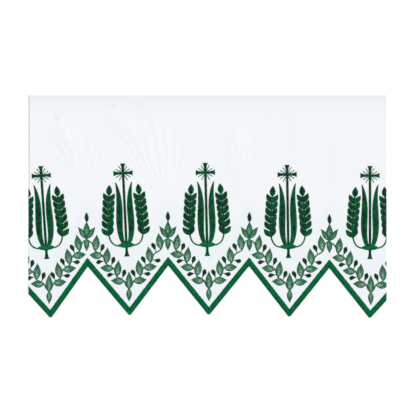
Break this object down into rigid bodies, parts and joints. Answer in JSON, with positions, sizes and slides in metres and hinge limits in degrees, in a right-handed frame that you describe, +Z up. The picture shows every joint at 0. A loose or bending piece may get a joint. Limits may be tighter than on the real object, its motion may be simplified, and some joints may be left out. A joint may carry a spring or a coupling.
{
  "type": "altar cloth",
  "caption": "White altar cloth with a deep zigzag lower edge, a green satin-stitched edging and green embroidered crosses, wheat and leafy garlands, lying flat and face up.",
  "frame": {"origin": "on the surface that the cloth lies on, under the middle of its box", "axes": "+X along the cloth, +Y from the zigzag edge towards the plain hemmed edge, +Z up out of its face"},
  "size_m": [0.606, 0.3774, 0.0025],
  "materials": {
    "white_cloth": "plain fine weave, matt white",
    "edging_thread": "satin stitch, soft sheen, green",
    "dark_thread": "satin stitch, soft sheen, dark green",
    "leaf_thread": "open fill stitch, soft sheen, mid green"
  },
  "bodies": {
    "root": {"cloth": "white_cloth", "zigzag_edging": "edging_thread", "emblem_1": "dark_thread", "emblem_2": "dark_thread", "emblem_3": "dark_thread", "emblem_4": "dark_thread", "emblem_5": "dark_thread", "garland_1": "leaf_thread", "garland_2": "leaf_thread", "garland_3": "leaf_thread", "garland_4": "leaf_thread", "garland_5": "leaf_thread"}
  },
  "joints": []
}
